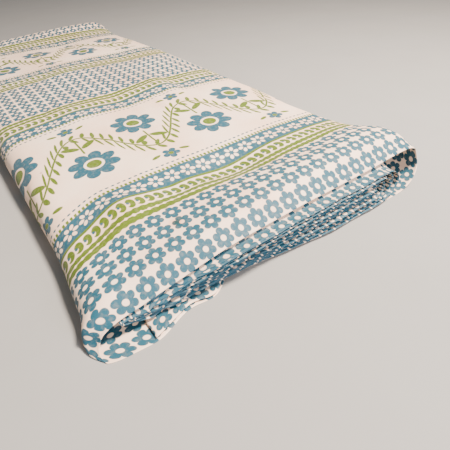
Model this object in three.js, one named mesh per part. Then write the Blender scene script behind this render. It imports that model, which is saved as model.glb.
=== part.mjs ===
// A length of printed cotton wound flat, without a board, and laid on a table.
// The cloth's width runs along Y, so the near and far ends of the bundle are stacked selvages.
// X runs across the bundle from its soft left side to its round right turn, and Z is up.
// Millimetres. The origin is on the table, under the middle of the bundle.

import * as THREE from 'three';

// Driving sizes
const CLOTH_WIDTH = 914;
const TAKEN_UP_BY_CREASES = 6;
const WALL = 1.5;
const TABLE_SEAM = 0.3;
const NEAR_EDGE = -441.5;
const BUNDLE_HEIGHT = 44;

// Reach of the bundle's sides, from its middle, and the rounding of its left side on the table
const LEFT_SIDE = -175.5;
const RIGHT_SIDE = 189.5;
const FOOT_ROUND = 6;
const SIDE_OUT = 3;
const TURN_LEAN = 4;
const POCKET_DEPTH = 70;
const TOP_START = -147;
const TOP_END = 156;
const TOP_STEPS = 17;

// Where the winding goes on under the stack, and where the loose end of the cloth lies
const UNDER_RUN_END = -61;
const TAIL_FOLD = -70;
const TAIL_RAW_END = -143;

// How far the lowest laps slid out past the top one, and between which places
const SLIP = 13;
const SLIP_FROM = -71;
const SLIP_TO = 60;
const SLIP_BELOW = 29;

// How far the inner laps' near edges stand out past the top one at its height, between which
// places, how far inward they start to, and how much lower they lie there
const LEDGE = 11;
const LEDGE_FROM = -130;
const LEDGE_TO = -62;
const LEDGE_HEIGHT = 34;
const LEDGE_ROOT = 3;
const LEDGE_SINK = 1.6;
const LEDGE_SINK_REACH = 14;

// Depth of the core's top under the outer lap's, and under the inner turns
const CORE_DROP = 3.1;
const CORE_DROP_IN_TURNS = 8.3;

// Height of the core's bottom on the turned end, on the under-run and inside the inner turns
const ON_TURNED_END = 3.9;
const ON_UNDER_RUN = 2;
const IN_TURNS = 5.8;

// Steps of the top grid where the inner turns start, and where they and the core round off
const TURN_STEP = 13;
const CORE_STEP = 15;

// The two inner turns that show at the right
const INNER_TURNS = [
  { name: 'second_turn', reach: 156, middle: 20, drop: 2.5, bottom: 1.9, color: '#b9cdd0' },
  { name: 'third_turn', reach: 145.5, middle: 20.5, drop: 4.9, bottom: 3.8, color: '#b3c8cc' },
];

// The core's sides, and where it narrows to its eye
const CORE_LEFT = -170;
const CORE_RIGHT = 137;
const CORE_MIDDLE = 21;

// Sampling
const STATIONS = 24;
const UNDER_STEPS = 8;
const ROUND = 5;
const CORE_LAYERS = 6;
const GROOVE = 4;
const END_INSET = 2;
const SPINE_START = -148;
const SPINE_END = 116;
const CORE_EYE = 0.08;
const CORE_BOTTOM_PLACES = [118, 84, 62, 28, -12, -50, -66, -98];

const LAP_LENGTH = CLOTH_WIDTH - TAKEN_UP_BY_CREASES;
const TOP_PITCH = (TOP_END - TOP_START) / TOP_STEPS;

// Rise of the top along the cloth's width: inward from the near selvage, and the lift there
const BORDER_ROLL = [
  { inward: 0, lift: -7.6 },
  { inward: 7, lift: -3.5 },
  { inward: 21, lift: 4.6 },
  { inward: 40, lift: 5.4 },
  { inward: 58, lift: 1.8 },
  { inward: 82, lift: -2.6 },
  { inward: 110, lift: -4.6 },
  { inward: 150, lift: -3.6 },
  { inward: 230, lift: -1 },
  { inward: 330, lift: 0 },
];

// Soft troughs and ridges of the top: middle, reach each way, and height
const FOLDS = [
  { x: -150, inward: 0, reachX: 70, reachY: 30, height: -8 },
  { x: 12, inward: 101, reachX: 46, reachY: 27, height: -9.5 },
  { x: -107, inward: 104, reachX: 22, reachY: 24, height: 6 },
  { x: -54, inward: 102, reachX: 15, reachY: 18, height: -3 },
  { x: 146, inward: 66, reachX: 30, reachY: 32, height: 3.5 },
  { x: 66, inward: 335, reachX: 24, reachY: 100, height: 5 },
  { x: 98, inward: 352, reachX: 15, reachY: 42, height: -2.5 },
  { x: -5, inward: 350, reachX: 22, reachY: 45, height: -3 },
  { x: -70, inward: 330, reachX: 22, reachY: 50, height: 2.5 },
  { x: -20, inward: 520, reachX: 35, reachY: 60, height: 3 },
  { x: 90, inward: 560, reachX: 40, reachY: 70, height: -3 },
  { x: -80, inward: 640, reachX: 30, reachY: 60, height: -3 },
  { x: 40, inward: 760, reachX: 50, reachY: 40, height: -5 },
  { x: -110, inward: 790, reachX: 40, reachY: 45, height: 3 },
];

// Near edge of the loose end on the table: place across, and how far it lies out past the top lap
const TAIL_EDGE = [
  { x: -185, out: 16.5 },
  { x: -171, out: 21 },
  { x: -160, out: 25 },
  { x: -146, out: 25.1 },
  { x: -137, out: 21.5 },
  { x: -126, out: 16.5 },
  { x: -106, out: 10.5 },
  { x: -85, out: 13.5 },
  { x: -70, out: 1.8 },
];

const bell = (distance, reach) => Math.exp(-((distance / reach) ** 2));
const mix = (a, b, t) => a + (b - a) * t;

function smooth(from, to, value) {
  const t = Math.min(Math.max((value - from) / (to - from), 0), 1);
  return t * t * (3 - 2 * t);
}

// Value of a table's column at a place: a smooth curve through its rows, level past both ends
function readTable(rows, place, column, at) {
  const last = rows.length - 1;
  const held = Math.min(Math.max(at, rows[0][place]), rows[last][place]);
  const slope = (i) => {
    const before = rows[Math.max(i - 1, 0)];
    const after = rows[Math.min(i + 1, last)];
    return (after[column] - before[column]) / (after[place] - before[place]);
  };
  const i = Math.max(rows.findIndex((row) => row[place] >= held), 1);
  const span = rows[i][place] - rows[i - 1][place];
  const t = (held - rows[i - 1][place]) / span;
  const ease = t * t * (3 - 2 * t);
  const leave = t * (1 - t) * (1 - t) * span * slope(i - 1);
  const arrive = t * t * (t - 1) * span * slope(i);
  return mix(rows[i - 1][column], rows[i][column], ease) + leave + arrive;
}

// Height of the outer lap's face over the table, where the cloth is laid flat
function topHeight(x, y) {
  const inward = y - NEAR_EDGE;
  const across = (x - 7) / 160;
  const crown = BUNDLE_HEIGHT + 3.9 * across - 2.1 * across ** 2 - 3.5 * across ** 4;
  const fromEnd = Math.min(inward, LAP_LENGTH - inward);
  const roll = readTable(BORDER_ROLL, 'inward', 'lift', fromEnd) + 4.5 * across * bell(fromEnd - 32, 26);
  let folds = 0;
  for (const fold of FOLDS) {
    folds += fold.height * bell(x - fold.x, fold.reachX) * bell(inward - fold.inward, fold.reachY);
  }
  return crown + roll + folds;
}

// Reach of the outer lap to the left and right: it flares at the near corner and has one waist
function leftReach(y) {
  const inward = y - NEAR_EDGE;
  return LEFT_SIDE - 6.2 * bell(inward - 24, 50) - 12.2 * bell(inward + 8, 16);
}

function rightReach(y) {
  const inward = y - NEAR_EDGE;
  return RIGHT_SIDE + 1.8 * bell(inward - 10, 60) - 8 * bell(inward - 175, 62);
}

// How far the laps at a height have slid out towards the viewer
function slip(x, z) {
  const down = 1 - Math.min(Math.max(z / SLIP_BELOW, 0), 1);
  return SLIP * smooth(SLIP_FROM, SLIP_TO, x) * down;
}

// How much further out the near edges of the inner laps are drawn, right up under the top one
function ledge(x, z) {
  return LEDGE * smooth(LEDGE_FROM, LEDGE_TO, x) * Math.min(Math.max(z / LEDGE_HEIGHT, 0), 1);
}

// Height of the outer lap's face where an inner lap lies under it
const heightOver = (x, y) => topHeight(x, y) - LEDGE_SINK * bell(y - NEAR_EDGE, LEDGE_SINK_REACH);

const station = (u) => LAP_LENGTH * (u - 0.12 * Math.sin(2 * Math.PI * u));

// Angle of one step round a quarter turn
const quarter = (step) => (Math.PI / 2) * (step / ROUND);

// The outer lap's section: from the loose end on the table to the left, round the left side, over
// the top, round the right side and back under the stack. Each place along it says how far its
// near edge lies out past the top's, and gives its x and z for a y.
function outerLapSection() {
  const section = [];
  for (const row of TAIL_EDGE.slice(1).reverse()) {
    section.push({ out: row.out, at: () => [row.x, 0] });
  }
  const widestAt = (y) => 13 - 4 * bell(y - NEAR_EDGE, POCKET_DEPTH);
  for (let i = 0; i <= ROUND; i += 1) {
    const a = quarter(i);
    section.push({
      out: mix(TAIL_EDGE[0].out, SIDE_OUT, smooth(0, 1, i / ROUND)),
      at: (y) => [leftReach(y) + FOOT_ROUND * (1 - Math.sin(a)), widestAt(y) * (1 - Math.cos(a))],
    });
  }
  for (let i = 1; i < ROUND; i += 1) {
    const a = quarter(i);
    section.push({
      out: SIDE_OUT * (1 - i / ROUND),
      at: (y) => [
        mix(TOP_START, leftReach(y), Math.cos(a)),
        mix(widestAt(y), topHeight(TOP_START, y), Math.sin(a)),
      ],
    });
  }
  for (let i = 0; i <= TOP_STEPS; i += 1) {
    const x = TOP_START + i * TOP_PITCH;
    section.push({ out: 0, at: (y) => [x, topHeight(x, y)] });
  }
  section.push(...rightTurn({
    start: TOP_END, reach: rightReach, middle: 22, height: topHeight, drop: 0, bottom: 0,
  }));
  for (let i = 0; i <= UNDER_STEPS; i += 1) {
    const x = mix(TOP_END - TURN_LEAN, UNDER_RUN_END, i / UNDER_STEPS);
    section.push({ out: slip(x, 0), at: () => [x, 0] });
  }
  return section;
}

// The round turn at the right, from the top grid's place start down to the bottom run.
// It is widest, at its reach, at the middle height, and starts a drop under the outer lap's top.
function rightTurn({ start, reach, middle, height, drop, bottom }) {
  const section = [];
  for (let i = 1; i <= ROUND; i += 1) {
    const a = quarter(i);
    const z = mix(middle, BUNDLE_HEIGHT, Math.cos(a));
    section.push({
      out: slip(start, z),
      drawnOut: ledge(start, z),
      at: (y) => [
        mix(start, reach(y), Math.sin(a)),
        mix(middle, height(start, y) - drop, Math.cos(a)),
      ],
    });
  }
  for (let i = 1; i < ROUND; i += 1) {
    const a = quarter(i);
    const z = mix(middle, 0, Math.sin(a));
    section.push({
      out: slip(start, z),
      drawnOut: ledge(start, z),
      at: (y) => [mix(start - TURN_LEAN, reach(y), Math.cos(a)), mix(middle, bottom, Math.sin(a))],
    });
  }
  return section;
}

// An inner lap shows only where it turns: a U from the top grid round to the bottom
function turnSection({ reach, middle, drop, bottom }) {
  const section = [];
  for (let i = TURN_STEP; i <= CORE_STEP; i += 1) {
    const x = TOP_START + i * TOP_PITCH;
    section.push({
      out: 0,
      drawnOut: ledge(x, BUNDLE_HEIGHT),
      at: (y) => [x, heightOver(x, y) - drop],
    });
  }
  const start = TOP_START + CORE_STEP * TOP_PITCH;
  section.push(...rightTurn({
    start, reach: () => reach, middle, height: heightOver, drop, bottom,
  }));
  for (const x of [start - TURN_LEAN, TOP_START + TURN_STEP * TOP_PITCH]) {
    section.push({ out: slip(x, 0), drawnOut: ledge(x, bottom), at: () => [x, bottom] });
  }
  return section;
}

// Places along the cloth's width. A grid with a ledge has one more, where the ledge starts.
function placesAlong(withLedge) {
  const places = [];
  for (let j = 0; j <= STATIONS; j += 1) {
    places.push(station(j / STATIONS));
  }
  if (withLedge) places.splice(1, 0, LEDGE_ROOT);
  return places;
}

function surfaceGrid(section, withLedge = false) {
  return section.map((stretch) => placesAlong(withLedge).map((place, j) => {
    const drawnOut = withLedge && j === 0 ? stretch.drawnOut : 0;
    const y = NEAR_EDGE - stretch.out - drawnOut + place;
    const [x, z] = stretch.at(y);
    return new THREE.Vector3(x, y, z);
  }));
}

// Normal of a grid point, from its neighbours both ways
function gridNormal(grid, i, j) {
  const last = grid.length - 1;
  const end = grid[0].length - 1;
  const round = grid[Math.min(i + 1, last)][j].clone().sub(grid[Math.max(i - 1, 0)][j]);
  const along = grid[i][Math.min(j + 1, end)].clone().sub(grid[i][Math.max(j - 1, 0)]);
  return round.cross(along).normalize();
}

function meshFrom(name, positions, faces, material) {
  const geometry = new THREE.BufferGeometry();
  geometry.setAttribute('position', new THREE.Float32BufferAttribute(positions, 3));
  geometry.setIndex(faces);
  geometry.computeVertexNormals();
  const mesh = new THREE.Mesh(geometry, material);
  mesh.name = name;
  return mesh;
}

// A cloth wall: the outer grid, the same grid moved in by the wall, and the four edges
function clothWall(name, grid, material) {
  const rows = grid.length;
  const columns = grid[0].length;
  const positions = [];
  for (const depth of [0, WALL]) {
    for (let i = 0; i < rows; i += 1) {
      for (let j = 0; j < columns; j += 1) {
        const point = grid[i][j].clone().addScaledVector(gridNormal(grid, i, j), -depth);
        positions.push(point.x, point.y, Math.max(point.z, 0));
      }
    }
  }
  const outer = (i, j) => i * columns + j;
  const inner = (i, j) => rows * columns + i * columns + j;
  const faces = [];
  const quad = (a, b, c, d) => faces.push(a, c, b, a, d, c);
  for (let i = 0; i < rows - 1; i += 1) {
    for (let j = 0; j < columns - 1; j += 1) {
      quad(outer(i, j), outer(i, j + 1), outer(i + 1, j + 1), outer(i + 1, j));
      quad(inner(i, j), inner(i + 1, j), inner(i + 1, j + 1), inner(i, j + 1));
    }
    const end = columns - 1;
    quad(outer(i, 0), outer(i + 1, 0), inner(i + 1, 0), inner(i, 0));
    quad(outer(i, end), inner(i, end), inner(i + 1, end), outer(i + 1, end));
  }
  for (let j = 0; j < columns - 1; j += 1) {
    const end = rows - 1;
    quad(outer(0, j), inner(0, j), inner(0, j + 1), outer(0, j + 1));
    quad(outer(end, j), outer(end, j + 1), inner(end, j + 1), inner(end, j));
  }
  return meshFrom(name, positions, faces, material);
}

// The raw end of the cloth, turned back on the loose end that lies on the table
function turnedEndGrid() {
  const rows = TAIL_EDGE.filter((row) => row.x > TAIL_RAW_END && row.x < TAIL_FOLD);
  const places = [{ x: TAIL_FOLD - 4, out: 3 }, ...rows.reverse(), { x: TAIL_RAW_END, out: 24 }];
  return surfaceGrid(places.map((row) => ({
    out: row.out - 2,
    at: () => [row.x, WALL + TABLE_SEAM],
  })));
}

// Bottom of the core: on the outer lap's under-run, on the turned end, or on the inner turns
function coreBottom(x) {
  const low = mix(ON_TURNED_END, ON_UNDER_RUN, smooth(TAIL_FOLD + 2, UNDER_RUN_END + 8, x));
  return mix(low, IN_TURNS, smooth(60, 82, x));
}

function coreTop(x, y) {
  const turnsStart = TOP_START + TURN_STEP * TOP_PITCH;
  const inTurns = smooth(turnsStart - TOP_PITCH, turnsStart, x);
  return heightOver(x, y) - mix(CORE_DROP, CORE_DROP_IN_TURNS, inTurns);
}

// Section of the core as a closed loop, clockwise from its bottom right
function coreSection() {
  const section = [];
  const start = TOP_START + CORE_STEP * TOP_PITCH;
  const pocket = (y) => bell(y - NEAR_EDGE, POCKET_DEPTH);
  const left = (y) => CORE_LEFT + 7 * pocket(y);
  const leftMiddle = (y) => 13 + 2 * pocket(y);
  const lowRound = (y) => 25 + 35 * pocket(y);
  for (const x of CORE_BOTTOM_PLACES) {
    section.push(() => [x, coreBottom(x)]);
  }
  section.push((y) => [left(y) + lowRound(y), coreBottom(left(y))]);
  for (let i = 1; i <= ROUND; i += 1) {
    const a = quarter(i);
    section.push((y) => [
      left(y) + lowRound(y) * (1 - Math.sin(a)),
      mix(leftMiddle(y), coreBottom(left(y)), Math.cos(a)),
    ]);
  }
  for (let i = 1; i < ROUND; i += 1) {
    const a = quarter(i);
    section.push((y) => [
      mix(TOP_START, left(y), Math.cos(a)),
      mix(leftMiddle(y), coreTop(TOP_START, y), Math.sin(a)),
    ]);
  }
  for (let i = 0; i <= CORE_STEP; i += 1) {
    const x = TOP_START + i * TOP_PITCH;
    section.push((y) => [x, coreTop(x, y)]);
  }
  for (let i = 1; i <= ROUND; i += 1) {
    const a = quarter(i);
    section.push((y) => [
      mix(start, CORE_RIGHT, Math.sin(a)),
      mix(CORE_MIDDLE, coreTop(start, y), Math.cos(a)),
    ]);
  }
  for (let i = 1; i < ROUND; i += 1) {
    const a = quarter(i);
    section.push(() => [
      mix(CORE_BOTTOM_PLACES[0], CORE_RIGHT, Math.cos(a)),
      mix(CORE_MIDDLE, coreBottom(start), Math.sin(a)),
    ]);
  }
  return section;
}

// The hidden laps as one rounded solid. Its two ends are cut into rings, one for each layer:
// every ring stands out at its edge and falls back in a groove before the next.
function layeredCore(name, material) {
  const section = coreSection();
  const count = section.length;
  const rings = [];
  const slipped = (point, y, drawn) => {
    const [x, z] = point(y);
    return y - slip(x, z) - (drawn ? ledge(x, z) : 0);
  };
  const ringAt = (shrink, end, groove) => section.map((point) => {
    const inset = END_INSET + groove;
    const edge = end ? NEAR_EDGE + LAP_LENGTH - inset : NEAR_EDGE + inset;
    const [x, z] = point(slipped(point, edge, !end));
    const spineX = Math.min(Math.max(x, SPINE_START), SPINE_END);
    const spineZ = mix(coreBottom(spineX), coreTop(spineX, edge), 0.5);
    const ringX = mix(spineX, x, shrink);
    const ringZ = mix(spineZ, z, shrink);
    const drawnOut = end ? 0 : ledge(ringX, ringZ);
    return new THREE.Vector3(ringX, edge - slip(ringX, ringZ) - drawnOut, ringZ);
  });
  const steps = CORE_LAYERS * 2;
  for (let k = 0; k <= steps; k += 1) {
    rings.push(ringAt(mix(CORE_EYE, 1, k / steps), false, k % 2 ? GROOVE : 0));
  }
  for (const place of placesAlong(true).slice(1, -1)) {
    const y = NEAR_EDGE + place;
    rings.push(section.map((point) => {
      const slid = slipped(point, y, false);
      const [x, z] = point(slid);
      return new THREE.Vector3(x, slid, z);
    }));
  }
  for (let k = steps; k >= 0; k -= 1) {
    rings.push(ringAt(mix(CORE_EYE, 1, k / steps), true, k % 2 ? GROOVE : 0));
  }
  const positions = rings.flat().flatMap((point) => [point.x, point.y, point.z]);
  const faces = [];
  for (let r = 0; r < rings.length - 1; r += 1) {
    for (let i = 0; i < count; i += 1) {
      const next = (i + 1) % count;
      const a = r * count + i;
      const b = r * count + next;
      faces.push(a, b + count, a + count, a, b, b + count);
    }
  }
  capRing(faces, 0, count, true);
  capRing(faces, (rings.length - 1) * count, count, false);
  return meshFrom(name, positions, faces, material);
}

// Closes a ring with a strip between its bottom and its top points
function capRing(faces, first, count, flip) {
  const triangle = (a, b, c) => (flip ? faces.push(a, c, b) : faces.push(a, b, c));
  let low = first;
  let high = first + count - 1;
  while (high - low > 1) {
    triangle(low, low + 1, high);
    if (high - low > 2) triangle(low + 1, high - 1, high);
    low += 1;
    high -= 1;
  }
}

// Printed cotton: bright where the outer lap shows, a little greyer on the laps inside
const cotton = (color) => new THREE.MeshStandardMaterial({ color, roughness: 0.82, metalness: 0 });

const bundle = new THREE.Group();
bundle.add(clothWall('outer_lap', surfaceGrid(outerLapSection()), cotton('#cfdcd6')));
for (const turn of INNER_TURNS) {
  bundle.add(clothWall(turn.name, surfaceGrid(turnSection(turn), true), cotton(turn.color)));
}
bundle.add(layeredCore('layered_core', cotton('#a9c0c6')));
bundle.add(clothWall('turned_end', turnedEndGrid(), cotton('#c4d3d2')));

export default bundle;
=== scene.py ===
"""A bundle of printed cotton, wound flat without a board and lying on a pale table.

The cloth's width runs along Y, so the near and far ends are stacked selvages. X runs across the
bundle from its soft left side to its round right turn, and Z is up. Shapes are worked out in
millimetres as grids of points and become metres when the meshes are made.
"""

import bpy
import numpy as np
from bpy.props import FloatProperty, FloatVectorProperty, IntProperty, PointerProperty
from mathutils import Matrix


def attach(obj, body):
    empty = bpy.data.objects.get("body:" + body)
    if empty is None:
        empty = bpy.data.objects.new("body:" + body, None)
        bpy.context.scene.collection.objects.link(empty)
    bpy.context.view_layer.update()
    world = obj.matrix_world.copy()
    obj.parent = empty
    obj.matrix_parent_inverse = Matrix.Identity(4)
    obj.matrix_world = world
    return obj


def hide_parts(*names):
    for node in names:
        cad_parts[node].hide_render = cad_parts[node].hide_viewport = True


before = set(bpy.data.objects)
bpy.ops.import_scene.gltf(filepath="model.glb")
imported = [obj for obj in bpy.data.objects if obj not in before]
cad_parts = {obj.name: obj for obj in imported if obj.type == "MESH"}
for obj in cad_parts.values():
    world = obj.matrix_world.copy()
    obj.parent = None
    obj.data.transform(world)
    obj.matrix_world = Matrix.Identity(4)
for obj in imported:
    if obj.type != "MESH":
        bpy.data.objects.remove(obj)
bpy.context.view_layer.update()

bl_info = {
    "name": "Printed cotton bundle",
    "version": (1, 0, 0),
    "blender": (4, 5, 0),
    "location": "View3D > Sidebar > Bundle",
    "description": "Builds a flat-wound bundle of printed cotton around its packed model",
    "category": "Add Mesh",
}

MM = 0.001

# Driving sizes in millimetres, most of them the solids' own
NEAR_EDGE = -441.5
LAP_LENGTH = 908.0
LEFT_SIDE = -175.5
LEFT_WIDEST = 13.0
RIGHT_SIDE = 189.5
FOOT_ROUND = 6.0
SIDE_OUT = 3.0
FOOT_OUT = 16.5
TURN_LEAN = 4.0
TURN_MIDDLE = 22.0
POCKET_DEPTH = 70.0
POCKET_DROP = 4.0
TOP_START = -147.0
TOP_END = 156.0
UNDER_RUN_END = -61.0
TAIL_FOLD = -70.0
TAIL_LEFT = -184.0
TURNED_FOLD = TAIL_FOLD - 4
TURNED_RAW_END = -143.0
TURNED_HEIGHT = 1.9
INNER_LEFT = -171.0
INNER_LEFT_STEP = 1.9
POCKET_SET_IN = 7.0
INNER_BASE = 1.7
INNER_BASE_LEFT = 3.2
UNDER_TOP = 2.0
SLIP = 13.0
SLIP_FROM = -71.0
SLIP_TO = 60.0
SLIP_BELOW = 29.0
LEDGE = 11.0
LEDGE_FROM = -130.0
LEDGE_TO = -62.0
LEDGE_HEIGHT = 34.0
LEDGE_FADE = 70.0

# Soft forms finer than the solids, in millimetres. SHOULDER and BUNCH_STEP are shares, and
# FIRST_BUNCH, LAPS_IN_BUNCH and BUNCHING are in laps
SHOULDER = 0.32
SHOULDER_DEPTH = 75.0
EDGE_TUCK = 14.0
EDGE_CURL = 0.5
CURL_LENGTH = 13.0
CURL_DEPTH = 9.0
EDGE_SINK = 2.4
EDGE_SET_BACK = 1.0
FIRST_BUNCH = 1.45
LAPS_IN_BUNCH = 2.6
BUNCH_HEIGHT = 6.8
BUNCH_STEP = 0.75
BUNCHING = 0.25
BUNCHED_FROM = -160.0
BUNCHED_TO = -95.0
GROOVE = 3.6
LAP_WANDER = 0.6
EDGE_WAVE = 0.5
RUFFLE = 2.6
RUFFLE_MIDDLE = -118.0
RUFFLE_REACH = 26.0

# The flat spiral: its start within the first lap, and the room left at its eye, in laps
SPIRAL_START = 0.75
SPIRAL_EYE = 0.9

# Rows and columns of the sheets, how far columns gather at the selvages, and the faint creases
OUTER_COLUMNS = 176
INNER_COLUMNS = 42
TURNED_COLUMNS = 90
TURNED_ROWS = 34
GATHER = 0.12
INNER_GATHER = 0.14
CREASE_SEED = 11
FAINT_CREASES = 90

# How the print lies, in millimetres: its pull near the left side, where that comes and goes along
# the width and comes across, its shift inside, a flower column's place on the ledge, and how much
# further left the columns lie for each millimetre down the ledge
PRINT_SKEW = 19.0
SKEW_COMES = (18, 84)
SKEW_GOES = (140, 330)
SKEW_ACROSS = (-112, -178)
PRINT_SHIFT = 4.1
LEDGE_COLUMN = -157.4
COLUMN_SLANT = 0.8

# Crown of the top in millimetres: its middle, its reach, and what the place across adds in reaches
# by itself, by its square and by its fourth power
CROWN_MIDDLE = 7.0
CROWN_REACH = 160.0
CROWN = (3.9, -2.1, -3.5)

# Slant of the rolled borders: height at the right reach, how far inward, and how far it spreads
ROLL_SLANT = 4.5
ROLL_MIDDLE = 32.0
ROLL_REACH = 26.0

# Swells of the left and the right side: inward, how far they spread, and how far to the right
LEFT_SWELLS = ((24, 50, -6.2), (-5, 19, -12.2))
RIGHT_SWELLS = ((10, 60, 1.8), (175, 62, -8))

# Rise of the top along the cloth's width: inward from the near selvage, and the lift there
BORDER_ROLL = np.array([
    (0, -7.6), (7, -3.5), (21, 4.6), (40, 5.4), (58, 1.8),
    (82, -2.6), (110, -4.6), (150, -3.6), (230, -1), (330, 0),
], dtype=float)

# Near edge of the loose end on the table: place across, and how far it lies out past the top lap
TAIL_EDGE = np.array([
    (-185, 19), (-171, 20), (-160, 20.5), (-146, 22), (-137, 19.5),
    (-126, 15.5), (-106, 9.5), (-85, 12.5), (-70, 1.8),
], dtype=float)

# Soft troughs and ridges of the top: place across, inward, reach each way, and height
FOLDS = (
    (-150, 0, 70, 30, -8),
    (12, 101, 46, 27, -9.5),
    (-107, 104, 22, 24, 6),
    (-54, 102, 15, 18, -3),
    (146, 66, 30, 32, 3.5),
    (66, 335, 24, 100, 5),
    (98, 352, 15, 42, -2.5),
    (-5, 350, 22, 45, -3),
    (-70, 330, 22, 50, 2.5),
    (-20, 520, 35, 60, 3),
    (90, 560, 40, 70, -3),
    (-80, 640, 30, 60, -3),
    (40, 760, 50, 40, -5),
    (-110, 790, 40, 45, 3),
    (-100, 38, 52, 24, -4.2),
    (-166, 56, 32, 52, -5),
    (166, 0, 36, 17, 5),
)

# Creases of the outer lap: place along the cloth (0 over the bundle's middle), inward, turn in
# degrees from the cloth's length, half length, half width, and height
CREASES = (
    (-118, 78, 20, 34, 6, 0.8),
    (-86, 118, -12, 26, 5, -0.7),
    (-38, 84, 8, 30, 5, 0.6),
    (2, 128, -6, 40, 6, 0.8),
    (44, 74, 14, 24, 5, -0.6),
    (84, 96, -18, 34, 6, 0.7),
    (124, 128, 10, 30, 6, -0.7),
    (-64, 232, 74, 44, 6, 0.6),
    (-12, 262, 82, 60, 7, -0.7),
    (36, 300, 88, 70, 6, 0.9),
    (84, 330, 84, 62, 5, -0.8),
    (112, 300, 96, 50, 6, 0.8),
    (-96, 392, 64, 40, 6, -0.6),
    (14, 430, 96, 60, 7, 0.7),
    (128, 470, 78, 44, 6, 0.6),
    (-48, 560, 50, 48, 8, -0.7),
    (70, 640, 112, 56, 7, 0.8),
    (-104, 700, 84, 44, 7, 0.7),
    (10, 730, 24, 60, 8, -0.8),
    (96, 812, 12, 50, 7, 0.8),
    (-60, 846, -14, 46, 6, 0.7),
    (-176, 210, 80, 60, 6, -0.8),
    (-172, 430, 96, 70, 7, 0.8),
    (-178, 660, 84, 60, 6, -0.8),
    (176, 140, 98, 54, 6, 0.8),
    (184, 330, 84, 70, 7, -0.9),
    (178, 560, 95, 64, 6, 0.9),
    (186, 780, 80, 54, 6, -0.8),
)

# Range of each value of a faint crease, in the same order
FAINT_RANGES = ((-330, 380), (10, 900), (0, 180), (12, 40), (4, 9), (-0.35, 0.35))

# Far right reach of the inner laps: lap number from the outside, and its reach
LAP_REACH = np.array([
    (1, 156), (2, 145.5), (3, 138), (4, 134), (5, 131), (8, 123.5), (14, 109),
], dtype=float)


def linear(code):
    """An sRGB hex colour as linear red, green and blue."""
    srgb = np.array([int(code[i:i + 2], 16) for i in (1, 3, 5)]) / 255
    return tuple(np.where(srgb <= 0.04045, srgb / 12.92, ((srgb + 0.055) / 1.055) ** 2.4).tolist())


def bell(distance, reach):
    """e to the power of minus the squared distance in reaches."""
    return np.exp(-np.square(distance / reach))


def mix(a, b, t):
    """a where t is 0, b where t is 1."""
    return a + (b - a) * t


def smooth(start, end, value):
    """0 before start, 1 past end, with a soft S between."""
    t = np.clip((value - start) / (end - start), 0, 1)
    return t * t * (3 - 2 * t)


def read_table(rows, at):
    """A smooth cubic curve through a table's rows, level past both ends."""
    place, value = rows.T
    last = len(rows) - 1
    before = np.maximum(np.arange(last + 1) - 1, 0)
    after = np.minimum(np.arange(last + 1) + 1, last)
    slope = (value[after] - value[before]) / (place[after] - place[before])
    held = np.clip(at, place[0], place[-1])
    i = np.clip(np.searchsorted(place, held), 1, last)
    span = place[i] - place[i - 1]
    t = (held - place[i - 1]) / span
    leave = t * (1 - t) ** 2 * span * slope[i - 1]
    arrive = t * t * (t - 1) * span * slope[i]
    return mix(value[i - 1], value[i], t * t * (3 - 2 * t)) + leave + arrive


def top_height(x, y, height):
    """Crown across the bundle, plus the rolled borders, plus each fold as a two-way bell."""
    inward = y - NEAR_EDGE
    across = (x - CROWN_MIDDLE) / CROWN_REACH
    slant, bow, drop = CROWN
    crown = height + slant * across + bow * across ** 2 + drop * across ** 4
    from_end = np.minimum(inward, LAP_LENGTH - inward)
    slanted = ROLL_SLANT * across * bell(from_end - ROLL_MIDDLE, ROLL_REACH)
    lift = read_table(BORDER_ROLL, from_end) + slanted
    for fold_x, fold_in, reach_x, reach_y, rise in FOLDS:
        lift = lift + rise * bell(x - fold_x, reach_x) * bell(inward - fold_in, reach_y)
    return crown + lift


def swells(rows, inward):
    """Sum of a table's bells along the cloth's width."""
    return sum(out * bell(inward - middle, reach) for middle, reach, out in rows)


def left_reach(y):
    """The left side, flared at the near corner."""
    return LEFT_SIDE + swells(LEFT_SWELLS, y - NEAR_EDGE)


def right_reach(y):
    """The right side, with one waist."""
    return RIGHT_SIDE + swells(RIGHT_SWELLS, y - NEAR_EDGE)


def pocket(y):
    """1 at the near edge, fading inward over the pocket's depth."""
    return bell(y - NEAR_EDGE, POCKET_DEPTH)


def tuck(from_edge):
    """How far the left side's near edge is turned in towards the stack."""
    return EDGE_TUCK * (1 - smooth(0, EDGE_TUCK, from_edge))


def slip(x, z):
    """How far the laps at a place and height have slid out towards the near side."""
    return SLIP * smooth(SLIP_FROM, SLIP_TO, x) * (1 - np.clip(z / SLIP_BELOW, 0, 1))


def ledge(x, z):
    """How much further out the near edges of the inner laps are drawn."""
    return LEDGE * smooth(LEDGE_FROM, LEDGE_TO, x) * np.clip(z / LEDGE_HEIGHT, 0, 1)


def stations(count, gather=GATHER):
    """Places along the cloth's width, gathered towards both selvages by a sine."""
    u = np.linspace(0, 1, count)
    return LAP_LENGTH * (u - gather * np.sin(2 * np.pi * u))


def quarter(t):
    """Cosine and sine of a quarter turn's share."""
    return np.cos(0.5 * np.pi * t), np.sin(0.5 * np.pi * t)


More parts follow.
